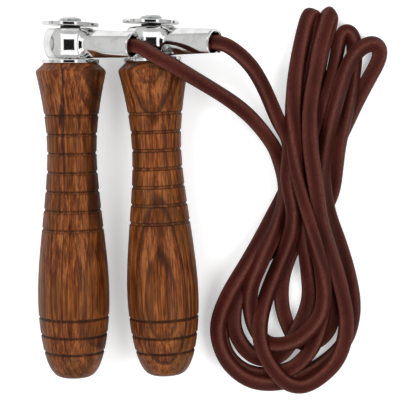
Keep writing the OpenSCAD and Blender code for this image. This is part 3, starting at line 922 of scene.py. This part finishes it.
def metal_look(name, colour, roughness, scratch, brushed=0.0):
    """Plated or ground metal: faint cloudiness, hairline scratches and a slightly uneven polish."""
    look = Look(name, Metallic=1.0)
    at = look.coordinate("Object")
    cloud = look.noise(look.place(at, (180, 180, 180)), 3)
    hair = look.noise(look.place(at, (300, 2600, 2600)), 3, 0.7)
    dulled = tuple(0.82 * c for c in colour)
    look.set("Base Color", look.mix(look.band(cloud, 0.4, 0.75), colour, dulled))
    polish = look.band(cloud, 0.3, 0.7, roughness, 1.6 * roughness)
    look.set("Roughness", look.add(polish, look.band(hair, 0.6, 0.75, 0.0, scratch)))
    relief = look.add(hair, look.times(cloud, 0.5))
    look.set("Normal", look.bump(relief, (0.004 + brushed) * MM))
    return look.material


def rubber_look():
    """Black moulded rubber with a little dust on it."""
    look = Look("black_collar", Specular_IOR_Level=0.4)
    at = look.coordinate("Object")
    dust = look.noise(look.place(at, (900, 900, 900)), 3)
    dusty = look.band(dust, 0.5, 0.8)
    look.set("Base Color", look.mix(dusty, RUBBER, RUBBER_DUST))
    look.set("Roughness", look.band(dust, 0.3, 0.7, 0.35, 0.6))
    look.set("Normal", look.bump(dust, 0.02 * MM))
    return look.material


def assign(obj, material):
    obj.data.materials.clear()
    obj.data.materials.append(material)


# ---- Stage ----------------------------------------------------------------------------------

FLOOR_HALF = 2.0
FLOOR_GLOW = 0.35
# The tent's brightness by how high one looks, from level and below to straight up
TENT_WALLS = [(0.0, grey(0.20)), (0.20, grey(0.42)), (0.50, (0.55, 0.55, 0.54)), (0.72, grey(0.50)),
              (1.0, grey(0.50))]
TENT_LEFT = (0.72, 0.72, 0.71)
PANELS = 1.25
OPENING_GREY = 0.015
# Middle of the square opening in the tent, as the x and y of the direction towards it
OPENING = (-0.02, -0.10)
# The tent's seam, low on the left
SEAM_X = -0.945
# name, place in metres, size, power in watts
LAMPS = [("key", (-0.45, 0.40, 0.80), 0.45, 5.0), ("fill", (0.50, -0.10, 0.85), 0.5, 4.0)]
LAMPS_AIM = Vector((0.03, 0, 0))


def floor_look():
    """White paper, which throws less light back up at the sides of things than it shows."""
    look = Look("pale_floor", Roughness=0.85, Specular_IOR_Level=0.1)
    rays = look.node("ShaderNodeLightPath").outputs
    paper = look.noise(look.place(look.coordinate("Object"), (6, 6, 6)), 2)
    white = look.mix(paper, grey(0.90), grey(0.92))
    bounce = look.mix(rays["Is Glossy Ray"], grey(0.30), grey(0.75))
    look.set("Base Color", look.mix(rays["Is Camera Ray"], bounce, white))
    look.set("Emission Color", (1, 1, 1, 1))
    look.set("Emission Strength", look.times(rays["Is Camera Ray"], FLOOR_GLOW))
    return look.material


def make_floor():
    half = FLOOR_HALF
    corners = [(-half, -half, 0), (half, -half, 0), (half, half, 0), (-half, half, 0)]
    floor = make_mesh("floor", corners, [(0, 1, 2, 3)])
    assign(floor, floor_look())


def make_tent():
    """A white tent with a ring of brighter panels overhead, a dark opening and a seam, which
    the chrome reflects."""
    world = bpy.data.worlds.new("tent")
    scene.world = world
    world.use_nodes = True
    look = Nodes(world.node_tree)
    x, y, z = look.node("ShaderNodeSeparateXYZ", {0: look.coordinate("Generated")}).outputs[:3]
    sky = look.ramp(z, TENT_WALLS)
    sky = look.mix(look.band(x, -0.1, -0.8, 0.0, 0.75), sky, TENT_LEFT)
    from_x = look.away(x, OPENING[0])
    from_y = look.away(y, OPENING[1])
    overhead = look.math("GREATER_THAN", z, 0.0)
    ring = look.math("MAXIMUM", look.times(from_x, 1.28), from_y)
    panels = look.times(look.band(ring, 0.76, 0.66), overhead)
    sky = look.mix(panels, sky, grey(PANELS))
    square = look.band(look.math("MAXIMUM", from_x, from_y), 0.40, 0.37)
    sky = look.mix(look.times(square, overhead), sky, grey(OPENING_GREY))
    seam = look.band(look.away(x, SEAM_X), 0.03, 0.01, 0.0, 0.7)
    sky = look.mix(seam, sky, grey(0.12))
    look.feed(world.node_tree.nodes["Background"].inputs["Color"], sky)


def make_lamps():
    """Soft lamps that light the wood and the leather, and that the chrome doesn't show."""
    for name, place, size, power in LAMPS:
        data = bpy.data.lights.new(name, "AREA")
        data.size = size
        data.energy = power
        lamp = bpy.data.objects.new(name, data)
        lamp.location = place
        lamp.rotation_euler = (LAMPS_AIM - lamp.location).to_track_quat("-Z", "Y").to_euler()
        lamp.visible_glossy = False
        scene.collection.objects.link(lamp)


# ---- Assembly -------------------------------------------------------------------------------

make_camera()
make_floor()
make_tent()
make_lamps()

path = rope_path()
rope = make_rope(path)
assign(rope, leather_look())
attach(rope, "rope_and_eyes")
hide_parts("left_rope_lead", "right_rope_lead", "rope_hank")

chrome = metal_look("chrome", (0.86, 0.865, 0.86), roughness=0.045, scratch=0.10)
zinc = metal_look("zinc", (0.60, 0.63, 0.62), roughness=0.22, scratch=0.15, brushed=0.01)
steel = metal_look("steel", (0.62, 0.62, 0.61), roughness=0.16, scratch=0.15)
brass = metal_look("brass", (0.62, 0.42, 0.17), roughness=0.25, scratch=0.15, brushed=0.006)
black = rubber_look()
for side in SIDES:
    assign(make_handle(side), wood_look(side))
    assign(make_eye(side), chrome)
    for which in ("lower", "upper"):
        assign(make_washer(side, which), chrome)

LOOKS = {"screw": zinc, "collar": black, "cage": brass, "balls": chrome}
for name, node in frame["nodes"].items():
    assign(node, next((LOOKS[key] for key in LOOKS if key in name), steel))
